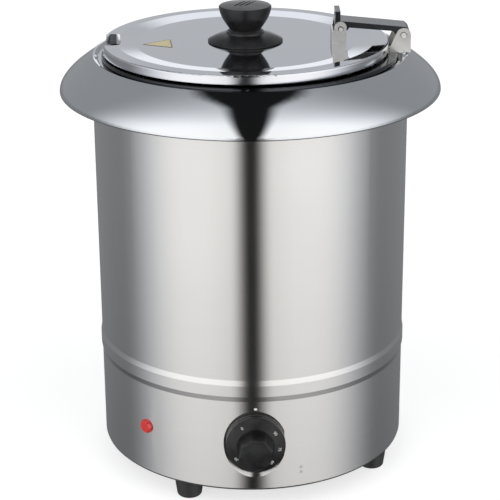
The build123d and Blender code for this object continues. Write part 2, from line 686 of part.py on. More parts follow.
with BuildPart() as knob_skirt:
    with BuildSketch(Plane.XZ):
        with BuildLine():
            Line((0, LID_FLAT), (KNOB_SKIRT_RADIUS - 0.6, LID_FLAT))
            Line((KNOB_SKIRT_RADIUS - 0.6, LID_FLAT), (KNOB_SKIRT_RADIUS, LID_FLAT + 0.6))
            Line((KNOB_SKIRT_RADIUS, LID_FLAT + 0.6), (KNOB_SKIRT_RADIUS, LID_FLAT + 1.2))
            ThreePointArc(
                (KNOB_SKIRT_RADIUS, LID_FLAT + 1.2),
                (26.0, LID_FLAT + 4.9),
                (17.2, LID_FLAT + 7.6),
            )
            Line((17.2, LID_FLAT + 7.6), (16.4, KNOB_SEAT))
            Line((16.4, KNOB_SEAT), (0, KNOB_SEAT))
            Line((0, KNOB_SEAT), (0, LID_FLAT))
        make_face()
    revolve(axis=Axis.Z)
    with Locations((0, 0, LID_FLAT)):
        Cylinder(KNOB_SCREW_HOLE, 60, mode=Mode.SUBTRACT)
save(knob_skirt.part.moved(Location((LID_X, 0, 0))), "knob_skirt")

with BuildPart() as lid_knob:
    with BuildSketch(Plane.XZ):
        with BuildLine():
            Line((0, KNOB_SEAT), (15.6, KNOB_SEAT))
            Line((15.6, KNOB_SEAT), (KNOB_NECK_RADIUS, KNOB_SEAT + 1.8))
            Spline(
                (KNOB_NECK_RADIUS, KNOB_SEAT + 1.8),
                (17.1, KNOB_SEAT + 6.4),
                (20.8, KNOB_SEAT + 12.6),
                (KNOB_CAP_RADIUS - 0.4, KNOB_CAP_RIM - 3.2),
                (KNOB_CAP_RADIUS, KNOB_CAP_RIM - 0.6),
            )
            Line((KNOB_CAP_RADIUS, KNOB_CAP_RIM - 0.6), (KNOB_CAP_RADIUS - 1.0, KNOB_CAP_RIM + 0.4))
            ThreePointArc(
                (KNOB_CAP_RADIUS - 1.0, KNOB_CAP_RIM + 0.4),
                (12.0, KNOB_TOP - 0.4),
                (0, KNOB_TOP),
            )
            Line((0, KNOB_TOP), (0, KNOB_SEAT))
        make_face()
    revolve(axis=Axis.Z)
    with Locations((0, 0, KNOB_SEAT + 7)):
        Cylinder(KNOB_SCREW_HOLE, 16, mode=Mode.SUBTRACT)
    with BuildSketch(Plane.XY.offset(KNOB_TOP - GROOVE_DEPTH - 0.3)):
        with Locations(Location((-4.5, 0, 0), (0, 0, 1), 62), Location((0, 0, 0), (0, 0, 1), 62),
                       Location((4.5, 0, 0), (0, 0, 1), 62)):
            SlotOverall(20, 1.6)
    extrude(amount=3, mode=Mode.SUBTRACT)
save(lid_knob.part.moved(Location((LID_X, 0, 0))), "lid_knob")

with BuildPart() as knob_screw:
    with BuildSketch(Plane.XY.offset(LID_UNDER)):
        with Locations((LID_X, 0)):
            Circle(KNOB_SCREW_RADIUS)
    extrude(amount=22)
    with BuildSketch(Plane.XY.offset(LID_UNDER)):
        with Locations((LID_X, 0)):
            Circle(4.0)
    extrude(amount=-2.2, taper=15)
save(knob_screw.part, "knob_screw")

# ---------------------------------------------------------------- blank label and marks
LABEL_THICKNESS = 0.2
LABEL_CENTRE = (-78.5, -9.5)
LABEL_TURN = 186
LABEL_RADIUS = 18.0
LABEL_CORNER = 1.5
RATING_PLATE_Z = 70.0
RATING_PLATE_HEIGHT = 40.0
RATING_PLATE_ARC = 26
RATING_PLATE_ANGLE = 112

with BuildPart() as lid_label:
    with BuildSketch(Plane.XY.offset(LID_FLAT)) as label_outline:
        with Locations(Location(LABEL_CENTRE, (0, 0, 1), LABEL_TURN)):
            RegularPolygon(LABEL_RADIUS, 3)
        fillet(label_outline.vertices(), LABEL_CORNER)
    extrude(amount=LABEL_THICKNESS)
save(lid_label.part, "lid_label")

INDEX_RISE = 34.6              # index mark above the dial's centre
INDEX_PROUD = 0.15

with BuildPart() as index_mark:
    with BuildSketch(front_plane(-BODY_RADIUS + 0.1)):
        with Locations((DIAL_X, DIAL_Z + INDEX_RISE)):
            Ellipse(1.5, 1.1)
    extrude(amount=INDEX_PROUD + 0.1)
    add(casing_solid(BODY_RADIUS, 0, BODY_BOTTOM, BODY_TOP), mode=Mode.SUBTRACT)
save(index_mark.part, "index_mark")

with BuildPart() as rating_plate:
    with BuildSketch(Plane.XZ):
        with Locations((BODY_RADIUS + 0.15, RATING_PLATE_Z)):
            Rectangle(0.3, RATING_PLATE_HEIGHT)
    revolve(axis=Axis.Z, revolution_arc=RATING_PLATE_ARC)
save(rating_plate.part.rotate(Axis.Z, RATING_PLATE_ANGLE), "rating_plate")

# ---------------------------------------------------------------- thermostat, shaft and dial
DIAL_BACK = 140.0              # distances in front of the kettle's axis
DIAL_EDGE = 144.5
DIAL_CONE = 147.0
DIAL_FRONT = 163.5
GRIP_RADIUS = 16.2
GRIP_FRONT_RADIUS = 15.0
GRIP_TURN = 13.0               # rest position of the eight-sided grip
CAVITY_RADIUS = 24.0
CAVITY_DEPTH = 2.4
HUB_RADIUS = 7.0
SHAFT_RADIUS = 3.0
FLAT_INSIDE = RECESS_DEPTH_Y - SHEET


def dial_ring(y):
    """Plane at a distance in front of the axis, centred on the dial."""
    return Plane(origin=(DIAL_X, -y, DIAL_Z), x_dir=(1, 0, 0), z_dir=(0, -1, 0))


with BuildPart() as thermostat_dial:
    with BuildSketch(dial_ring(DIAL_BACK)):
        Circle(DIAL_RADIUS)
    extrude(amount=DIAL_EDGE - DIAL_BACK)
    with BuildSketch(dial_ring(DIAL_EDGE)):
        Circle(DIAL_RADIUS)
    with BuildSketch(dial_ring(DIAL_CONE)):
        Circle(GRIP_RADIUS + 0.8)
    loft()
    with BuildSketch(dial_ring(DIAL_CONE)):
        RegularPolygon(GRIP_RADIUS, 8, rotation=GRIP_TURN)
    with BuildSketch(dial_ring(DIAL_FRONT)):
        RegularPolygon(GRIP_FRONT_RADIUS, 8, rotation=GRIP_TURN)
    loft()
    chamfer(thermostat_dial.faces().sort_by(Axis.Y)[0].edges(), 0.9)
    with BuildSketch(dial_ring(DIAL_BACK)):
        Circle(CAVITY_RADIUS)
        Circle(HUB_RADIUS, mode=Mode.SUBTRACT)
    extrude(amount=CAVITY_DEPTH, mode=Mode.SUBTRACT)
    with BuildSketch(dial_ring(DIAL_BACK)):
        Circle(SHAFT_RADIUS + 0.02)
    extrude(amount=16, mode=Mode.SUBTRACT)
save(thermostat_dial.part, "thermostat_dial")

with BuildPart() as thermostat_shaft:
    with BuildSketch(dial_ring(FLAT_INSIDE - 12)):
        Circle(SHAFT_RADIUS)
    extrude(amount=DIAL_BACK + 15.5 - FLAT_INSIDE + 12)
save(thermostat_shaft.part, "thermostat_shaft")

with BuildPart() as thermostat_body:
    with BuildSketch(dial_ring(FLAT_INSIDE - 1.5)):
        RectangleRounded(44, 24, 3)
    extrude(amount=1.5)
    with BuildSketch(dial_ring(FLAT_INSIDE - 26)):
        RectangleRounded(34, 36, 3)
    extrude(amount=24.5)
    with BuildSketch(dial_ring(FLAT_INSIDE)):
        Circle(SHAFT_HOLE_RADIUS - 0.2)
    extrude(amount=0.8)
    with BuildSketch(dial_ring(FLAT_INSIDE - 12.5)):
        Circle(SHAFT_RADIUS + RUNNING_FIT)
    extrude(amount=20, mode=Mode.SUBTRACT)
    with BuildSketch(dial_ring(FLAT_INSIDE - 8)):
        with Locations((-THERMOSTAT_SCREW_OFFSET, 0), (THERMOSTAT_SCREW_OFFSET, 0)):
            Circle(SCREW_HOLE_RADIUS)
    extrude(amount=12, mode=Mode.SUBTRACT)
    for side in (-10, 10):
        with BuildSketch(dial_ring(FLAT_INSIDE - 34)):
            with Locations((side, 6)):
                Rectangle(6.3, 0.8)
        extrude(amount=8)
save(thermostat_body.part, "thermostat_body")

with BuildPart() as thermostat_screws:
    with BuildSketch(dial_ring(FLAT_INSIDE - 7)):
        with Locations((-THERMOSTAT_SCREW_OFFSET, 0), (THERMOSTAT_SCREW_OFFSET, 0)):
            Circle(SCREW_RADIUS)
    extrude(amount=7 + SHEET)
    with BuildSketch(dial_ring(RECESS_DEPTH_Y)):
        with Locations((-THERMOSTAT_SCREW_OFFSET, 0), (THERMOSTAT_SCREW_OFFSET, 0)):
            Circle(3.4)
    extrude(amount=1.6, taper=15)
save(thermostat_screws.part, "thermostat_screws")

# ---------------------------------------------------------------- indicator lamp
LAMP_BARREL_RADIUS = 5.0
LAMP_NUT_FACE = 138.5
LAMP_NUT_HEIGHT = 4.0

with BuildPart() as lamp_lens:
    with BuildSketch(radial_plane(BODY_RADIUS, LAMP_ANGLE, LAMP_Z)):
        Circle(LAMP_RADIUS)
    extrude(amount=1.4)
    with BuildSketch(radial_plane(BODY_RADIUS + 1.4, LAMP_ANGLE, LAMP_Z)):
        Circle(LAMP_RADIUS - 0.5)
    extrude(amount=1.8, taper=30)
    fillet(lamp_lens.edges().filter_by(GeomType.CIRCLE).group_by(SortBy.DISTANCE)[-1], 0.5)
save(lamp_lens.part, "lamp_lens")

with BuildPart() as lamp_body:
    with BuildSketch(radial_plane(BODY_RADIUS - 30, LAMP_ANGLE, LAMP_Z)):
        Circle(LAMP_BARREL_RADIUS)
    extrude(amount=30)
    with BuildSketch(radial_plane(BODY_RADIUS - 38, LAMP_ANGLE, LAMP_Z)):
        with Locations((-2.2, 0), (2.2, 0)):
            Rectangle(0.8, 3)
    extrude(amount=8)
save(lamp_body.part, "lamp_body")

with BuildPart() as lamp_nut:
    with BuildSketch(radial_plane(LAMP_NUT_FACE - LAMP_NUT_HEIGHT, LAMP_ANGLE, LAMP_Z)):
        RegularPolygon(8.0, 6)
        Circle(LAMP_BARREL_RADIUS + 0.05, mode=Mode.SUBTRACT)
    extrude(amount=LAMP_NUT_HEIGHT)
save(lamp_nut.part, "lamp_nut")

# ---------------------------------------------------------------- rear cord bushing and its nut
GLAND_BARREL_RADIUS = 8.0
GLAND_INNER_END = 126.0
GLAND_OUTER_END = 158.0
GLAND_NUT_FACE = 139.8


def gland_ring(radius):
    """Plane across the cord bushing at a distance behind the axis."""
    return radial_plane(radius, GLAND_ANGLE, GLAND_Z)


with BuildPart() as cord_bushing:
    with BuildSketch(gland_ring(GLAND_INNER_END)):
        Circle(GLAND_BARREL_RADIUS)
    extrude(amount=BODY_RADIUS - GLAND_INNER_END + 0.5)
    with BuildSketch(gland_ring(BODY_RADIUS)):
        RegularPolygon(12.5, 6)
    extrude(amount=5)
    with BuildSketch(gland_ring(BODY_RADIUS + 5)):
        Circle(10.0)
    with BuildSketch(gland_ring(GLAND_OUTER_END)):
        Circle(6.6)
    loft()
    with BuildSketch(gland_ring(GLAND_INNER_END - 1)):
        Circle(GLAND_BORE_RADIUS)
    extrude(amount=GLAND_OUTER_END - GLAND_INNER_END + 2, mode=Mode.SUBTRACT)
save(cord_bushing.part, "cord_bushing")

with BuildPart() as bushing_nut:
    with BuildSketch(gland_ring(GLAND_NUT_FACE - 5)):
        RegularPolygon(11.5, 6)
        Circle(GLAND_BARREL_RADIUS + 0.05, mode=Mode.SUBTRACT)
    extrude(amount=5)
save(bushing_nut.part, "bushing_nut")

# ---------------------------------------------------------------- heating element and its fixings
ELEMENT_RADIUS = 85.0
ELEMENT_TUBE = 4.0
ELEMENT_Z = WELL_FLOOR - ELEMENT_TUBE - 0.1
ELEMENT_ARC = 330
ELEMENT_START = 105
LEG_BOTTOM = 90.0
STUD_CIRCLE = 60.0
STUD_ANGLES = [30, 150, 270]
STUD_RADIUS = 2.5
STUD_HOLE = 2.6
CLAMP_TOP = ELEMENT_Z - ELEMENT_TUBE - 0.1
CLAMP_THICKNESS = 1.5
NUT_HEIGHT = 4.0
NUT_RADIUS = 4.6
SHIELD_TOP = 99.0
SHIELD_RADIUS = 122.0


def studs_at(z, radius):
    """Circles at the three stud positions, on a level plane."""
    with BuildSketch(Plane.XY.offset(z)) as spots:
        with Locations([around(STUD_CIRCLE, angle) for angle in STUD_ANGLES]):
            Circle(radius)
    return spots.sketch


def stud_nuts(top):
    """Three hexagon nuts below a height, bored for the studs."""
    with BuildPart() as nuts:
        with BuildSketch(Plane.XY.offset(top - NUT_HEIGHT)) as hexagons:
            with Locations([around(STUD_CIRCLE, angle) for angle in STUD_ANGLES]):
                RegularPolygon(NUT_RADIUS, 6)
        extrude(amount=NUT_HEIGHT)
        extrude(studs_at(top - NUT_HEIGHT - 1, STUD_HOLE), amount=NUT_HEIGHT + 2, mode=Mode.SUBTRACT)
    return nuts.part


LEG_BEND = 8.0
LEG_CLEARANCE = 4.0


def element_leg(angle, direction):
    """Bend and straight leg of the element, starting where the ring ends."""
    heading = Vector(-sin(radians(angle)), cos(radians(angle)), 0) * direction
    ring_end = Vector(*around(ELEMENT_RADIUS, angle, ELEMENT_Z))
    bend_plane = Plane(origin=ring_end, x_dir=heading, z_dir=heading.cross(Vector(0, 0, 1)))
    with BuildLine(bend_plane) as leg:
        CenterArc((0, -LEG_BEND), LEG_BEND, 90, -90)
        Line((LEG_BEND, -LEG_BEND), (LEG_BEND, LEG_BOTTOM - ELEMENT_Z))
    with BuildPart() as tube:
        with BuildSketch(Plane(origin=ring_end, z_dir=heading)) as section:
            Circle(ELEMENT_TUBE)
        sweep(section.sketch, path=leg.wire())
        with BuildSketch(Plane(origin=leg.wire() @ 1, z_dir=(0, 0, -1))) as pin_section:
            Circle(1.5)
        extrude(pin_section.sketch, amount=8)
    return tube.part


with BuildPart() as heating_element:
    with BuildSketch(Plane.XZ):
        with Locations((ELEMENT_RADIUS, ELEMENT_Z)):
            Circle(ELEMENT_TUBE)
    revolve(axis=Axis.Z, revolution_arc=ELEMENT_ARC)
    add(heating_element.part.rotate(Axis.Z, ELEMENT_START), mode=Mode.REPLACE)
    add(element_leg(ELEMENT_START, -1))
    add(element_leg(ELEMENT_START + ELEMENT_ARC, 1))
save(heating_element.part, "heating_element")
LEG_POINTS = [
    (Vector(*around(ELEMENT_RADIUS, angle)) + Vector(*around(LEG_BEND, angle + 90 * side)))
    for angle, side in ((ELEMENT_START, -1), (ELEMENT_START + ELEMENT_ARC, 1))
]

with BuildPart() as element_clamp:
    with BuildSketch(Plane.XY.offset(CLAMP_TOP - CLAMP_THICKNESS)):
        Circle(98)
        Circle(50, mode=Mode.SUBTRACT)
        with Locations([around(STUD_CIRCLE, angle) for angle in STUD_ANGLES]):
            Circle(STUD_HOLE, mode=Mode.SUBTRACT)
        with Locations([(point.X, point.Y) for point in LEG_POINTS]):
            Circle(ELEMENT_TUBE + LEG_CLEARANCE, mode=Mode.SUBTRACT)
    extrude(amount=CLAMP_THICKNESS)
save(element_clamp.part, "element_clamp")

with BuildPart() as clamp_studs:
    extrude(studs_at(SHIELD_TOP - 7, STUD_RADIUS), amount=WELL_FLOOR - SHIELD_TOP + 7)
save(clamp_studs.part, "clamp_studs")
CLAMP_UNDER = CLAMP_TOP - CLAMP_THICKNESS
save(stud_nuts(CLAMP_UNDER), "clamp_nuts")

with BuildPart() as shield_spacers:
    extrude(studs_at(SHIELD_TOP, 4.0), amount=CLAMP_UNDER - NUT_HEIGHT - SHIELD_TOP)
    extrude(studs_at(SHIELD_TOP - 1, STUD_HOLE), amount=20, mode=Mode.SUBTRACT)
save(shield_spacers.part, "shield_spacers")

CAPILLARY_DROP = (36.0, -30.0)

with BuildPart() as heat_shield:
    with BuildSketch(Plane.XY.offset(SHIELD_TOP - SHEET)):
        Circle(SHIELD_RADIUS)
        with Locations([around(STUD_CIRCLE, angle) for angle in STUD_ANGLES]):
            Circle(STUD_HOLE, mode=Mode.SUBTRACT)
        with Locations([(point.X, point.Y) for point in LEG_POINTS]):
            Circle(ELEMENT_TUBE + LEG_CLEARANCE, mode=Mode.SUBTRACT)
        with Locations(CAPILLARY_DROP):
            Circle(4, mode=Mode.SUBTRACT)
    extrude(amount=SHEET)
save(heat_shield.part, "heat_shield")
save(stud_nuts(SHIELD_TOP - SHEET), "shield_nuts")

# ---------------------------------------------------------------- sensor, clip and cut-out
BULB_RADIUS = 3.0
BULB_Z = WELL_FLOOR - BULB_RADIUS - 0.1
CAPILLARY_RADIUS = 0.8


def routed_tube(radius, points, bends):
    """Round tube or wire along straight runs joined by arcs."""
    with BuildPart() as tube:
        with BuildLine() as route:
            FilletPolyline(*points, radius=bends)
        with BuildSketch(Plane(origin=route.wire() @ 0, z_dir=route.wire() % 0)) as section:
            Circle(radius)
        sweep(section.sketch, path=route.wire())
    return tube.part


with BuildPart() as sensor_bulb:
    with Locations(Location((-5, CAPILLARY_DROP[1], BULB_Z), (0, 1, 0), 90)):
        Cylinder(BULB_RADIUS, 60)
save(sensor_bulb.part, "sensor_bulb")

capillary = routed_tube(
    CAPILLARY_RADIUS,
    [
        (25, CAPILLARY_DROP[1], BULB_Z),
        (CAPILLARY_DROP[0], CAPILLARY_DROP[1], BULB_Z),
        (CAPILLARY_DROP[0], CAPILLARY_DROP[1], 91),
        (12, -92, 91),
        (8, -122, 91),
        (8, -122, DIAL_Z + 18),
    ],
    [6, 6, 10, 6],
)
save(capillary, "sensor_capillary")

with BuildPart() as bulb_clip:
    with BuildSketch(Plane.YZ.offset(-8)):
        with Locations((CAPILLARY_DROP[1], BULB_Z)):
            Circle(BULB_RADIUS + 1.1)
            Circle(BULB_RADIUS + 0.1, mode=Mode.SUBTRACT)
            with Locations((0, BULB_RADIUS + 1)):
                Rectangle(20, 4, mode=Mode.SUBTRACT)
        for side in (-1, 1):
            with Locations((CAPILLARY_DROP[1] + side * (BULB_RADIUS + 0.6), WELL_FLOOR - 1.6)):
                Rectangle(1.0, 3.0)
            with Locations((CAPILLARY_DROP[1] + side * (BULB_RADIUS + 3.6), WELL_FLOOR - 0.6)):
                Rectangle(6.0, 1.0)
    extrude(amount=12)
save(bulb_clip.part, "bulb_clip")

with BuildPart() as thermal_cutout:
    with BuildSketch(Plane.XY.offset(WELL_FLOOR - 1.0)):
        with Locations((0, 22)):
            SlotOverall(32, 11)
    extrude(amount=0.9)
    with BuildSketch(Plane.XY.offset(WELL_FLOOR - 10.0)):
        with Locations((0, 22)):
            Circle(8.5)
    extrude(amount=9.0)
    with BuildSketch(Plane.XY.offset(WELL_FLOOR - 15.0)):
        with Locations((-4.5, 22), (4.5, 22)):
            Rectangle(0.8, 6)
    extrude(amount=5.0)
save(thermal_cutout.part, "thermal_cutout")

# ---------------------------------------------------------------- base plate, feet and terminal block
BASE_FLOOR_TOP = FOOT_HEIGHT + 1.2
BASE_WALL_TOP = 44.0
BASE_RADIUS = BODY_RADIUS - 0.4
BASE_WALL_OUTSIDE = WALL_INSIDE - 0.1
VENT_RINGS = [(45.0, 8), (70.0, 12)]
FOOT_SCREW_RADIUS = 2.5
FOOT_SCREW_HOLE = 2.6
FOOT_ANGLES = [FOOT_FIRST_ANGLE + 90 * step for step in range(4)]
FOOT_NAMES = ["foot_front_left", "foot_front_right", "foot_rear_right", "foot_rear_left"]
RECESS_TOP = 9.0               # depth of the screw recess in a foot
BLOCK_CENTRE = (46.0, 52.0)
DIAL_RELIEF_WIDTH = 66.0       # the base wall is cut down behind the dial recess
DIAL_RELIEF_HEIGHT = 32.0

with BuildPart() as base_plate:
    with BuildSketch(Plane.XZ):
        with BuildLine():
            Polyline(
                (0, FOOT_HEIGHT),
                (BASE_RADIUS - 0.8, FOOT_HEIGHT),
                (BASE_RADIUS, FOOT_HEIGHT + 0.8),
                (BASE_RADIUS, BODY_BOTTOM),
                (BASE_WALL_OUTSIDE, BODY_BOTTOM),
                (BASE_WALL_OUTSIDE, BASE_WALL_TOP),
                (BASE_WALL_OUTSIDE - SHEET, BASE_WALL_TOP),
                (BASE_WALL_OUTSIDE - SHEET, BASE_FLOOR_TOP),
                (0, BASE_FLOOR_TOP),
                close=True,
            )
        make_face()
    revolve(axis=Axis.Z)
    with BuildSketch(Plane.XY.offset(FOOT_HEIGHT - 1)):
        for ring_radius, count in VENT_RINGS:
            with PolarLocations(ring_radius, count):
                SlotOverall(16, 5)
        with Locations([around(FOOT_CIRCLE_RADIUS, angle) for angle in FOOT_ANGLES]):
            Circle(FOOT_SCREW_HOLE)
    extrude(amount=3, mode=Mode.SUBTRACT)
    with Locations((DIAL_X, -BASE_WALL_OUTSIDE, BASE_WALL_TOP)):
        Box(DIAL_RELIEF_WIDTH, 16, DIAL_RELIEF_HEIGHT, mode=Mode.SUBTRACT)
    for angle in BASE_SCREW_ANGLES:
        drill(SCREW_HOLE_RADIUS, angle, BASE_SCREW_Z)
    for height in SIDE_RIVET_HEIGHTS:
        drill(RIVET_HOLE_RADIUS, SIDE_RIVET_ANGLE, height)
save(base_plate.part, "base_plate")

with BuildPart() as foot:
    with BuildSketch(Plane.XZ):
        with BuildLine():
            Line((FOOT_SCREW_HOLE, FOOT_HEIGHT), (FOOT_TOP_RADIUS, FOOT_HEIGHT))
            Line((FOOT_TOP_RADIUS, FOOT_HEIGHT), (FOOT_BOTTOM_RADIUS + 0.4, 2.6))
            ThreePointArc(
                (FOOT_BOTTOM_RADIUS + 0.4, 2.6),
                (FOOT_BOTTOM_RADIUS - 0.5, 0.8),
                (FOOT_BOTTOM_RADIUS - 2.4, 0),
            )
            Line((FOOT_BOTTOM_RADIUS - 2.4, 0), (5.5, 0))
            Line((5.5, 0), (5.5, RECESS_TOP))
            Line((5.5, RECESS_TOP), (FOOT_SCREW_HOLE, RECESS_TOP))
            Line((FOOT_SCREW_HOLE, RECESS_TOP), (FOOT_SCREW_HOLE, FOOT_HEIGHT))
        make_face()
    revolve(axis=Axis.Z)
for foot_name, angle in zip(FOOT_NAMES, FOOT_ANGLES):
    save(foot.part.moved(Location(around(FOOT_CIRCLE_RADIUS, angle))), foot_name)

with BuildPart() as foot_screws:
    with BuildSketch(Plane.XY.offset(RECESS_TOP - 3)):
        with Locations([around(FOOT_CIRCLE_RADIUS, angle) for angle in FOOT_ANGLES]):
            Circle(4.6)
    extrude(amount=3)
    with BuildSketch(Plane.XY.offset(RECESS_TOP)):
        with Locations([around(FOOT_CIRCLE_RADIUS, angle) for angle in FOOT_ANGLES]):
            Circle(FOOT_SCREW_RADIUS)
    extrude(amount=BASE_FLOOR_TOP + 6 - RECESS_TOP)
save(foot_screws.part, "foot_screws")

with BuildPart() as foot_nuts:
    with BuildSketch(Plane.XY.offset(BASE_FLOOR_TOP)):
        with Locations([around(FOOT_CIRCLE_RADIUS, angle) for angle in FOOT_ANGLES]):
            RegularPolygon(NUT_RADIUS, 6)
            Circle(FOOT_SCREW_HOLE, mode=Mode.SUBTRACT)
    extrude(amount=NUT_HEIGHT)
save(foot_nuts.part, "foot_nuts")

BLOCK_HEIGHT = 16.0
POLE_PITCH = 12.0
POLE_XS = [BLOCK_CENTRE[0] + POLE_PITCH * pole for pole in (-1, 0, 1)]

with BuildPart() as terminal_block:
    with BuildSketch(Plane.XY.offset(BASE_FLOOR_TOP)):
        with Locations(BLOCK_CENTRE):
            RectangleRounded(42, 18, 1.5)
    extrude(amount=BLOCK_HEIGHT)
    with Locations([(x, BLOCK_CENTRE[1], BASE_FLOOR_TOP + BLOCK_HEIGHT) for x in POLE_XS]):
        Cylinder(3.0, 8, mode=Mode.SUBTRACT)
save(terminal_block.part, "terminal_block")

with BuildPart() as terminal_screws:
    with Locations([(x, BLOCK_CENTRE[1], BASE_FLOOR_TOP + BLOCK_HEIGHT - 2.5) for x in POLE_XS]):
        Cylinder(2.8, 3)
save(terminal_screws.part, "terminal_screws")

# ---------------------------------------------------------------- internal leads
LEAD_RADIUS = 1.4
BLOCK_TOP = BASE_FLOOR_TOP + BLOCK_HEIGHT
LEG_TWO, LEG_ONE = LEG_POINTS
THERMOSTAT_TAB_Y = -(FLAT_INSIDE - 34)

neutral_lead = routed_tube(
    LEAD_RADIUS,
    [
        (BLOCK_CENTRE[0] - POLE_PITCH, BLOCK_CENTRE[1] + 9.1, 30),
        (BLOCK_CENTRE[0] - POLE_PITCH, LEG_TWO.Y - 6, 30),
        (LEG_TWO.X, LEG_TWO.Y, 56),
        (LEG_TWO.X, LEG_TWO.Y, LEG_BOTTOM - 8.1),
    ],
    [8, 12],
)
save(neutral_lead, "neutral_lead")

live_lead = routed_tube(
    LEAD_RADIUS,
    [
        (BLOCK_CENTRE[0], BLOCK_CENTRE[1] - 9.1, 30),
        (BLOCK_CENTRE[0], BLOCK_CENTRE[1] - 44, 30),
        (DIAL_X + 10, -64, DIAL_Z + 6),
        (DIAL_X + 10, THERMOSTAT_TAB_Y + 0.1, DIAL_Z + 6),
    ],
    [18, 18],
)
save(live_lead, "live_lead")

switched_lead = routed_tube(
    LEAD_RADIUS,
    [
        (DIAL_X - 10, THERMOSTAT_TAB_Y + 0.1, DIAL_Z + 6),
        (DIAL_X - 10, -64, DIAL_Z + 6),
        (LEG_ONE.X, LEG_ONE.Y, 56),
        (LEG_ONE.X, LEG_ONE.Y, LEG_BOTTOM - 8.1),
    ],
    [18, 12],
)
save(switched_lead, "switched_lead")
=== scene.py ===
"""Soup kettle: looks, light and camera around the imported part. Metres, +Z up, front towards -Y."""
import json
import math

import bpy
from mathutils import Matrix, Vector


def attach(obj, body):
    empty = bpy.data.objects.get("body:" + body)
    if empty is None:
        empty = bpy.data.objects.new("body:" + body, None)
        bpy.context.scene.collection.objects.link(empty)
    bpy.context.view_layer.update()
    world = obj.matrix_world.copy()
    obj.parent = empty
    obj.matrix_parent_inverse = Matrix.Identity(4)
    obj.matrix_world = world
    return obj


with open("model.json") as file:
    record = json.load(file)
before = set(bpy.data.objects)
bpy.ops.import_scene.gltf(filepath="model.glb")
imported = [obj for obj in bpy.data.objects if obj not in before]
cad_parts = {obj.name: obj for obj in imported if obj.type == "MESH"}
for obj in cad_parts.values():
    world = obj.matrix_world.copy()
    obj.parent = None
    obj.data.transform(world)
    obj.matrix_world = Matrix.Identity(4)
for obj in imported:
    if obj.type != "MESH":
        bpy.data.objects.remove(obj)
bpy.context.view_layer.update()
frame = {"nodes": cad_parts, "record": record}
NODES = frame["nodes"]
MM = 0.001
SCENE = bpy.context.scene
SCENE.view_settings.view_transform = "Standard"


# ------------------------------------------------------------------ camera
CAMERA_PLACE = (0, -1.4774, 0.7601)
PITCH, ROLL, YAW = 0.3651, -0.0078, 0.0009    # radians; pitch is downwards
HALF_FRAME, FOCAL = 250, 1687.3               # in units of one 500th of the frame's width


def make_camera():
    """The photograph's viewing angle: 21 degrees down, square on to the front."""
    pitch, roll, yaw = PITCH, ROLL, YAW
    forward = Vector((-math.cos(pitch) * math.sin(yaw),
                      math.cos(pitch) * math.cos(yaw),
                      -math.sin(pitch)))
    level = Vector((math.cos(yaw), math.sin(yaw), 0))
    up = Vector((-math.sin(pitch) * math.sin(yaw), math.sin(pitch) * math.cos(yaw), math.cos(pitch)))
    right = math.cos(roll) * level + math.sin(roll) * up
    top = -math.sin(roll) * level + math.cos(roll) * up
    data = bpy.data.cameras.new("camera")
    data.sensor_width = 36.0
    data.angle = 2 * math.atan(HALF_FRAME / FOCAL)
    data.clip_start, data.clip_end = 0.05, 60
    camera = bpy.data.objects.new("camera", data)
    SCENE.collection.objects.link(camera)
    rotation = Matrix((right, top, -forward)).transposed().to_4x4()
    camera.matrix_world = Matrix.Translation(CAMERA_PLACE) @ rotation
    SCENE.camera = camera


make_camera()


# ------------------------------------------------------------------ node helpers
class Tree:
    """A few short calls for building a node tree."""

    def __init__(self, tree):
        self.tree = tree
        tree.nodes.clear()

    def node(self, kind, **settings):
        made = self.tree.nodes.new(kind)
        for key, value in settings.items():
            setattr(made, key, value)
        return made

    def put(self, value, socket):
        """Link a socket, or set a number or colour on it."""
        if isinstance(value, bpy.types.NodeSocket):
            self.tree.links.new(value, socket)
        else:
            socket.default_value = value

    def math(self, operation, *values, clamp=False):
        made = self.node("ShaderNodeMath", operation=operation, use_clamp=clamp)
        for value, socket in zip(values, made.inputs):
            self.put(value, socket)
        return made.outputs[0]

    def length(self, a, b):
        """Length of the two numbers taken as the sides of a right angle."""
        squares = [self.math("MULTIPLY", side, side) for side in (a, b)]
        return self.math("SQRT", self.math("ADD", *squares))

    def step(self, value, low, high, start=0.0, end=1.0):
        """A smooth step from start to end as value goes from low to high."""
        made = self.node("ShaderNodeMapRange", interpolation_type="SMOOTHSTEP")
        for given, socket in zip((value, low, high, start, end), made.inputs):
            self.put(given, socket)
        return made.outputs[0]

    def mix(self, share, first, second):
        """Mix of two numbers."""
        made = self.node("ShaderNodeMix", data_type="FLOAT")
        for given, socket in zip((share, first, second), made.inputs[:1] + made.inputs[2:4]):
            self.put(given, socket)
        return made.outputs[0]

    def mix_colour(self, share, first, second):
        made = self.node("ShaderNodeMix", data_type="RGBA")
        self.put(share, made.inputs[0])
        self.put(first, made.inputs[6])
        self.put(second, made.inputs[7])
        return made.outputs[2]

    def xyz(self, vector):
        made = self.node("ShaderNodeSeparateXYZ")
        self.put(vector, made.inputs[0])
        return made.outputs

    def vector(self, x, y, z):
        made = self.node("ShaderNodeCombineXYZ")
        for value, socket in zip((x, y, z), made.inputs):
            self.put(value, socket)
        return made.outputs[0]

    def noise(self, vector, scale, detail=3.0, roughness=0.55):
        made = self.node("ShaderNodeTexNoise")
        self.put(vector, made.inputs["Vector"])
        made.inputs["Scale"].default_value = scale
        made.inputs["Detail"].default_value = detail
        made.inputs["Roughness"].default_value = roughness
        return made.outputs["Fac"]

    def bump(self, height, distance, strength=1.0):
        made = self.node("ShaderNodeBump")
        self.put(height, made.inputs["Height"])
        made.inputs["Distance"].default_value = distance
        made.inputs["Strength"].default_value = strength
        return made.outputs["Normal"]


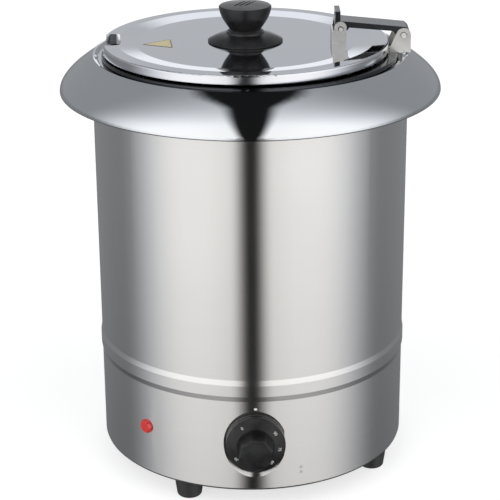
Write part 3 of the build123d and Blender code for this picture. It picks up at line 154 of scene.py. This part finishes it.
# ------------------------------------------------------------------ studio
CEILING = 0.37                # light from behind and above
PANELS = 1.46                 # light from the two soft panels in front
WALLS_LOW = 0.27              # light from the sides and behind, below eye level
PANELS_LOW = 1.40             # light from the panels, below eye level
FLOOR_SHARE = 0.28            # share of both left far below eye level
NEAR_GAP_HIGH = 0.93          # share of the light beside the dark strip, above eye level
NEAR_GAP_LOW = 0.86           # the same, below eye level
GAP_LIGHT = 0.012             # dark strip between the panels
GAP_HALF = 0.105              # half the strip's width at eye level
GAP_SPREAD = 0.030            # how much wider it is straight above
GAP_FLARE = 0.15              # and how much wider still just past the top
BACKDROP = 0.59               # middle of the white backdrop behind
BACKDROP_HIGH = 1.12          # its upper edge
BACKDROP_FOOT = 1.10          # its lower edge
COOL, WARM = (0.965, 0.99, 1.03, 1), (1.0, 0.995, 0.985, 1)


def make_studio():
    """Two wide soft panels in front, a dark strip between them, a grey ceiling, a white backdrop.

    Each tone depends on a direction only: x to the right, y backwards, z up, of length 1.
    """
    world = bpy.data.worlds.new("studio")
    SCENE.world = world
    world.use_nodes = True
    t = Tree(world.node_tree)
    coords = t.node("ShaderNodeTexCoord").outputs["Generated"]
    x, y, z = t.xyz(coords)
    front = t.math("MULTIPLY", y, -1.0)
    across = t.math("ABSOLUTE", x)
    high = t.step(front, -0.40, 0.55, CEILING, PANELS)
    high = t.math("MULTIPLY", high, t.step(across, 0.10, 0.55, NEAR_GAP_HIGH, 1.0))
    low = t.step(front, -0.30, 0.66, WALLS_LOW, PANELS_LOW)
    low = t.math("MULTIPLY", low, t.step(z, -0.62, -0.30, FLOOR_SHARE, 1.0))
    low = t.math("MULTIPLY", low, t.step(across, 0.12, 0.55, NEAR_GAP_LOW, 1.0))
    tent = t.mix(t.step(z, -0.16, 0.02), low, high)
    # the backdrop behind: bright at its foot and its upper edge, darker between
    behind = t.math("MULTIPLY", t.step(across, 0.20, 0.16), t.step(y, 0.60, 0.70))
    tone = t.mix(t.step(z, 0.32, 0.39), BACKDROP, BACKDROP_HIGH)
    tone = t.mix(t.step(z, 0.21, 0.13), tone, BACKDROP_FOOT)
    tone = t.mix(t.step(z, 0.60, 0.66), tone, CEILING)
    tent = t.mix(behind, tent, tone)
    # the dark strip, from the front horizon to just past the top
    width = t.math("ADD", t.math("MULTIPLY_ADD", z, GAP_SPREAD, GAP_HALF),
                   t.step(front, 0.04, -0.22, 0.0, GAP_FLARE))
    strip = t.step(t.math("SUBTRACT", across, width), 0.060, -0.045)
    strip = t.mix(t.step(z, 0.10, -0.10), strip, t.step(across, 0.26, 0.03))
    strip = t.math("MULTIPLY", strip, t.step(y, 0.30, 0.20))
    tent = t.mix(strip, tent, GAP_LIGHT)
    # light from in front is a little warm, the rest a little blue
    colour = t.mix_colour(t.step(front, -0.1, 0.8), COOL, WARM)
    back = t.node("ShaderNodeBackground")
    t.put(colour, back.inputs["Color"])
    t.put(tent, back.inputs["Strength"])
    out = t.node("ShaderNodeOutputWorld")
    t.put(back.outputs[0], out.inputs["Surface"])


make_studio()


FLOOR_HALF = 9.0
WALL_RADIUS, WALL_HEIGHT, WALL_SIDES = 8.5, 12.0, 96


def stage_object(name, verts, faces):
    """A stage object with a material of its own, and that material's empty tree."""
    mesh = bpy.data.meshes.new(name)
    mesh.from_pydata(verts, [], faces)
    piece = bpy.data.objects.new(name, mesh)
    SCENE.collection.objects.link(piece)
    material = bpy.data.materials.new(name + "_white")
    material.use_nodes = True
    mesh.materials.append(material)
    return piece, Tree(material.node_tree)


def make_floor():
    """A large pale floor, lightly lit from itself so that it stays near white."""
    half = FLOOR_HALF
    corners = [(-half, -half, 0), (half, -half, 0), (half, half, 0), (-half, half, 0)]
    floor, t = stage_object("floor", corners, [(0, 1, 2, 3)])
    shader = t.node("ShaderNodeBsdfPrincipled")
    shader.inputs["Base Color"].default_value = (0.55, 0.55, 0.55, 1)
    shader.inputs["Roughness"].default_value = 0.9
    shader.inputs["Specular IOR Level"].default_value = 0.0
    shader.inputs["Emission Color"].default_value = (1, 1, 1, 1)
    shader.inputs["Emission Strength"].default_value = 0.68
    t.put(shader.outputs[0], t.node("ShaderNodeOutputMaterial").inputs["Surface"])
    floor.visible_glossy = False


def make_wall():
    """A plain white wall far round the kettle. Only the camera sees it."""
    turns = [2 * math.pi * k / WALL_SIDES for k in range(WALL_SIDES)]
    verts = [(WALL_RADIUS * math.cos(turn), WALL_RADIUS * math.sin(turn), z)
             for z in (-0.01, WALL_HEIGHT) for turn in turns]
    faces = []
    for k in range(WALL_SIDES):
        after = (k + 1) % WALL_SIDES
        faces.append((k, after, WALL_SIDES + after, WALL_SIDES + k))
    wall, t = stage_object("wall", verts, faces)
    light = t.node("ShaderNodeEmission")
    light.inputs["Strength"].default_value = 1.0
    t.put(light.outputs[0], t.node("ShaderNodeOutputMaterial").inputs["Surface"])
    wall.visible_glossy = wall.visible_diffuse = False
    wall.visible_transmission = wall.visible_shadow = False


make_floor()
make_wall()


# ------------------------------------------------------------------ materials
FINE_LINES, COARSE_LINES, CLOUDS = 3600.0, 620.0, 9.0    # of a brushed face, per metre of height
# painted shade: the colour of the pot's rim in its narrow channel
RIM_PAINTED_SHADE = (0.055, 0.058, 0.063, 1)
PINS = (((80.5, 409.0), 2.5), ((136.3, 403.2), 3.2))    # place in X and Z, and head radius, in mm
LABEL_CENTRE = (-78.5, -9.5)   # mm
LABEL_TURN = 186               # degrees
LABEL_INRADIUS = 9.0           # from the centre to a side, mm
LABEL_EDGE = (1.25, 0.95)      # where the edge line starts and is full, in from a side, mm


def new_material(name):
    """A material, its tree, and the shader that is already linked to its output."""
    material = bpy.data.materials.new(name)
    material.use_nodes = True
    t = Tree(material.node_tree)
    shader = t.node("ShaderNodeBsdfPrincipled")
    t.put(shader.outputs[0], t.node("ShaderNodeOutputMaterial").inputs["Surface"])
    return material, t, shader


def object_place(t):
    return t.node("ShaderNodeTexCoord").outputs["Object"]


def brushed_round(name, colour, rough, anisotropy, streak=0.10, bump=0.00002, painted_shade_radius=None):
    """Sheet metal ground with fine level lines round the Z axis, so that reflections spread
    up and down. Past a given radius its colour is darkened: painted shade for the pot's rim in its
    narrow channel.
    """
    material, t, shader = new_material(name)
    x, y, z = t.xyz(object_place(t))
    angle = t.math("ARCTAN2", x, t.math("MULTIPLY", y, -1.0))

    def bands(around, apart, lines, detail):
        place = t.vector(t.math("MULTIPLY", angle, around), apart, t.math("MULTIPLY", z, lines))
        return t.noise(place, 1.0, detail)

    fine = bands(5.0, 0.0, FINE_LINES, 2.0)
    coarse = bands(1.6, 3.0, COARSE_LINES, 4.0)
    cloud = bands(1.2, 9.0, CLOUDS, 2.0)
    grain = t.math("ADD", t.math("MULTIPLY", fine, 0.55), t.math("MULTIPLY", coarse, 0.45))
    dark = tuple(c * (1 - streak) for c in colour) + (1,)
    light = tuple(min(1.0, c * (1 + streak)) for c in colour) + (1,)
    face = t.mix_colour(grain, dark, light)
    # painted shade: base colour darkened past the given radius, for the shade in the rim's channel
    if painted_shade_radius:
        radius = t.length(x, y)
        face = t.mix_colour(t.step(radius, painted_shade_radius, painted_shade_radius + 2 * MM), face, RIM_PAINTED_SHADE)
    t.put(face, shader.inputs["Base Color"])
    t.put(t.step(t.math("MULTIPLY_ADD", cloud, 0.5, t.math("MULTIPLY", grain, 0.5)), 0.3, 0.7,
                 rough - 0.02, rough + 0.02), shader.inputs["Roughness"])
    t.put(t.bump(grain, bump, 0.35), shader.inputs["Normal"])
    shader.inputs["Metallic"].default_value = 1.0
    shader.inputs["Anisotropic"].default_value = anisotropy
    shader.inputs["Anisotropic Rotation"].default_value = 0.25
    tangent = t.node("ShaderNodeTangent", direction_type="RADIAL", axis="Z")
    t.put(tangent.outputs[0], shader.inputs["Tangent"])
    return material


def pin_material():
    """Bright pin heads, each with a painted shadow: a dark circle at its edge where it meets the ear.
    """
    material, t, shader = new_material("pin_steel")
    x, _, z = t.xyz(object_place(t))
    painted_gap_shadow = None
    for (pin_x, pin_z), head in PINS:
        off_x, off_z = t.math("SUBTRACT", x, pin_x * MM), t.math("SUBTRACT", z, pin_z * MM)
        radius = t.length(off_x, off_z)
        # painted shadow: a dark circle at each head's edge for the shadow gap against the ear
        rise = t.step(radius, (head - 0.75) * MM, (head - 0.45) * MM)
        painted_gap_shadow = rise if painted_gap_shadow is None else t.math("MINIMUM", painted_gap_shadow, rise)
    cloud = t.noise(object_place(t), 300.0, 3.0)
    bright = t.mix_colour(cloud, (0.84, 0.84, 0.84, 1), (0.95, 0.95, 0.95, 1))
    t.put(t.mix_colour(painted_gap_shadow, bright, (0.06, 0.06, 0.06, 1)), shader.inputs["Base Color"])
    t.put(t.step(cloud, 0.3, 0.7, 0.30, 0.40), shader.inputs["Roughness"])
    shader.inputs["Metallic"].default_value = 1.0
    return material


def metal(name, colour, rough, grain=0.02, scale=260.0, streak=None, bump=0.0,
          satin_edge=None):
    """Polished or plated metal with faint cloudiness and wear in its gloss.

    satin_edge is a centre in X, a radius and a roughness: past that radius the polish is duller.
    """
    material, t, shader = new_material(name)
    place = object_place(t)
    cloud = t.noise(place, scale * 0.12, 4.0)
    if streak:
        x, y, z = t.xyz(place)
        place = t.vector(*(t.math("MULTIPLY", axis, factor) for axis, factor in zip((x, y, z), streak)))
    speck = t.noise(place, scale, 3.0)
    both = t.math("ADD", t.math("MULTIPLY", cloud, 0.5), t.math("MULTIPLY", speck, 0.5))
    dark = tuple(c * (1 - grain * 2) for c in colour) + (1,)
    t.put(t.mix_colour(both, dark, (*colour, 1)), shader.inputs["Base Color"])
    gloss = t.step(both, 0.3, 0.7, max(0.0, rough - grain), rough + grain)
    if satin_edge:
        centre, reach, satin = satin_edge
        x, y, _ = t.xyz(object_place(t))
        radius = t.length(t.math("SUBTRACT", x, centre), y)
        gloss = t.mix(t.step(radius, reach, reach + 2 * MM), gloss, satin)
    t.put(gloss, shader.inputs["Roughness"])
    if bump:
        t.put(t.bump(speck, bump, 0.4), shader.inputs["Normal"])
    shader.inputs["Metallic"].default_value = 1.0
    return material


def plastic(name, colour, rough, bump=0.00003, scale=2200.0, lift=0.35, specular=0.5):
    """Moulded plastic or rubber with a fine spark-eroded grain and slight scuffing."""
    material, t, shader = new_material(name)
    place = object_place(t)
    fine = t.noise(place, scale, 2.0)
    cloud = t.noise(place, 45.0, 4.0)
    light = tuple(c + (1 - c) * 0.02 + c * lift for c in colour) + (1,)
    t.put(t.mix_colour(t.step(cloud, 0.35, 0.75), (*colour, 1), light), shader.inputs["Base Color"])
    t.put(t.step(cloud, 0.3, 0.7, rough - 0.05, rough + 0.06), shader.inputs["Roughness"])
    t.put(t.bump(fine, bump, 0.3), shader.inputs["Normal"])
    shader.inputs["Specular IOR Level"].default_value = specular
    return material


def lens_material():
    """Glossy red plastic that glows a little."""
    material, t, shader = new_material("lens_red")
    place = object_place(t)
    cloud = t.noise(place, 320.0, 3.0)
    red = t.mix_colour(cloud, (0.36, 0.006, 0.004, 1), (0.62, 0.02, 0.012, 1))
    t.put(red, shader.inputs["Base Color"])
    t.put(t.step(cloud, 0.3, 0.7, 0.10, 0.18), shader.inputs["Roughness"])
    shader.inputs["Coat Weight"].default_value = 0.8
    shader.inputs["Emission Color"].default_value = (0.5, 0.01, 0.005, 1)
    shader.inputs["Emission Strength"].default_value = 0.12
    return material


def label_material():
    """A blank beige triangle with a grey edge, on the lid."""
    centre = Vector(LABEL_CENTRE) * MM
    material, t, shader = new_material("label_yellow")
    x, y, z = t.xyz(object_place(t))
    reach = None
    for side in range(3):
        across = math.radians(LABEL_TURN + 60 + 120 * side)
        along = t.math("ADD", t.math("MULTIPLY", t.math("SUBTRACT", x, centre.x), math.cos(across)),
                       t.math("MULTIPLY", t.math("SUBTRACT", y, centre.y), math.sin(across)))
        reach = along if reach is None else t.math("MAXIMUM", reach, along)
    edge = t.step(reach, *((LABEL_INRADIUS - inset) * MM for inset in LABEL_EDGE))
    wear = t.noise(object_place(t), 420.0, 4.0)
    face = t.mix_colour(wear, (0.60, 0.50, 0.20, 1), (0.72, 0.62, 0.30, 1))
    t.put(t.mix_colour(edge, face, (0.10, 0.10, 0.09, 1)), shader.inputs["Base Color"])
    t.put(t.step(wear, 0.3, 0.7, 0.30, 0.42), shader.inputs["Roughness"])
    return material


MATERIALS = {
    "brushed": brushed_round("brushed", (0.690, 0.681, 0.672), 0.22, 0.97, 0.07),
    "collar_chrome": metal("collar_chrome", (0.655, 0.67, 0.69), 0.045, 0.008, 60.0),
    "lid_steel": metal("lid_steel", (0.66, 0.665, 0.70), 0.04, 0.006, 60.0,
                       satin_edge=(-4 * MM, 124.5 * MM, 0.13)),
    "pot_steel": brushed_round("pot_steel", (0.60, 0.605, 0.62), 0.16, 0.4, 0.04, painted_shade_radius=120 * MM),
    "well_steel": brushed_round("well_steel", (0.55, 0.55, 0.56), 0.30, 0.5, 0.08),
    "bracket_nickel": metal("bracket_nickel", (0.80, 0.79, 0.77), 0.34, 0.04, 900.0,
                            (1, 1, 14), 0.00001),
    "arm_chrome": metal("arm_chrome", (0.085, 0.087, 0.092), 0.20, 0.02, 120.0),
    "pin_steel": pin_material(),
    "knob_black": plastic("knob_black", (0.006, 0.006, 0.007), 0.32, lift=0.1, specular=0.36),
    "dial_black": plastic("dial_black", (0.005, 0.005, 0.006), 0.30, lift=0.1, specular=0.28),
    "shaft_brass": metal("shaft_brass", (0.62, 0.45, 0.18), 0.25, 0.05, 500.0),
    "lens_red": lens_material(),
    "lamp_white": plastic("lamp_white", (0.66, 0.64, 0.58), 0.45, lift=0.05),
    "label_yellow": label_material(),
    "mark_white": plastic("mark_white", (0.62, 0.62, 0.61), 0.5, lift=0.02),
    "plate_silver": metal("plate_silver", (0.72, 0.72, 0.73), 0.35, 0.04, 500.0, (1, 1, 30)),
    "base_black": plastic("base_black", (0.016, 0.016, 0.017), 0.42, 0.00005, 900.0),
    "foot_rubber": plastic("foot_rubber", (0.013, 0.013, 0.013), 0.48, 0.00005, 1400.0),
    "zinc": metal("zinc", (0.62, 0.63, 0.62), 0.30, 0.06, 600.0, None, 0.00001),
    "element_steel": metal("element_steel", (0.30, 0.27, 0.25), 0.42, 0.08, 300.0, None, 0.00003),
    "shield_alu": metal("shield_alu", (0.70, 0.71, 0.72), 0.34, 0.06, 500.0,
                        (1, 18, 1), 0.00001),
    "ceramic": plastic("ceramic", (0.74, 0.71, 0.62), 0.55, lift=0.04),
    "bush_black": plastic("bush_black", (0.015, 0.015, 0.016), 0.40),
    "copper": metal("copper", (0.70, 0.36, 0.22), 0.28, 0.06, 400.0, None, 0.00001),
    "lead_grey": plastic("lead_grey", (0.34, 0.34, 0.33), 0.55, lift=0.1),
}
NODE_SLOTS = {part["node"]: part["material_slot"] for part in frame["record"]["subparts"]}
POLISHED = ("lid", "rim_collar", "inner_pot", "lid_knob", "knob_skirt")
for name, piece in NODES.items():
    piece.data.materials.clear()
    piece.data.materials.append(MATERIALS[NODE_SLOTS[name]])
for name in POLISHED:
    even = NODES[name].modifiers.new("even_shading", "WEIGHTED_NORMAL")
    even.weight = 100
    even.keep_sharp = True



# ------------------------------------------------------------------ dial numbers
DIAL_AXIS = (2.6, 65.0)        # X and Z of the dial's axis, mm
NUMERAL_RADIUS = 21.3          # from the axis to a number's middle, mm
NUMERAL_FRONT = 145.85         # in front of the kettle's axis, mm
NUMERAL_HEIGHT = 3.9           # size of the type, mm
NUMERAL_DEPTH = 0.08           # printed ink, partly sunk in the dial, mm
NUMERAL_TILT = 14.0            # slope of the dial's face there, degrees
NUMERALS = {"0": 124, "30": 216, "60": 312, "75": 352, "90": 36}    # degrees round the dial


def numeral_mesh(text, angle):
    """A number printed on the dial's sloping face, its top outwards."""
    curve = bpy.data.curves.new("numeral", "FONT")
    curve.body = text
    curve.align_x, curve.align_y = "CENTER", "CENTER"
    curve.size = NUMERAL_HEIGHT * MM
    curve.extrude = NUMERAL_DEPTH * MM / 2
    maker = bpy.data.objects.new("numeral", curve)
    SCENE.collection.objects.link(maker)
    graph = bpy.context.evaluated_depsgraph_get()
    mesh = bpy.data.meshes.new_from_object(maker.evaluated_get(graph))
    bpy.data.objects.remove(maker)
    around, tilt = math.radians(angle), math.radians(NUMERAL_TILT)
    outward = Vector((math.cos(around), 0, math.sin(around)))
    forward = Vector((0, -1, 0))
    top = math.cos(tilt) * outward - math.sin(tilt) * forward
    normal = math.sin(tilt) * outward + math.cos(tilt) * forward
    place = Matrix((top.cross(normal), top, normal)).transposed().to_4x4()
    middle = (Vector((DIAL_AXIS[0], -NUMERAL_FRONT, DIAL_AXIS[1])) * MM
              + outward * NUMERAL_RADIUS * MM)
    mesh.transform(Matrix.Translation(middle) @ place)
    return mesh


def make_numerals():
    """All the numbers as one piece that turns with the dial."""
    verts, faces = [], []
    for text, angle in NUMERALS.items():
        mesh = numeral_mesh(text, angle)
        first = len(verts)
        verts += [tuple(v.co) for v in mesh.vertices]
        faces += [tuple(first + i for i in face.vertices) for face in mesh.polygons]
        bpy.data.meshes.remove(mesh)
    mesh = bpy.data.meshes.new("dial_numerals")
    mesh.from_pydata(verts, [], faces)
    mesh.materials.append(MATERIALS["mark_white"])
    piece = bpy.data.objects.new("dial_numerals", mesh)
    SCENE.collection.objects.link(piece)
    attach(piece, "dial")


make_numerals()
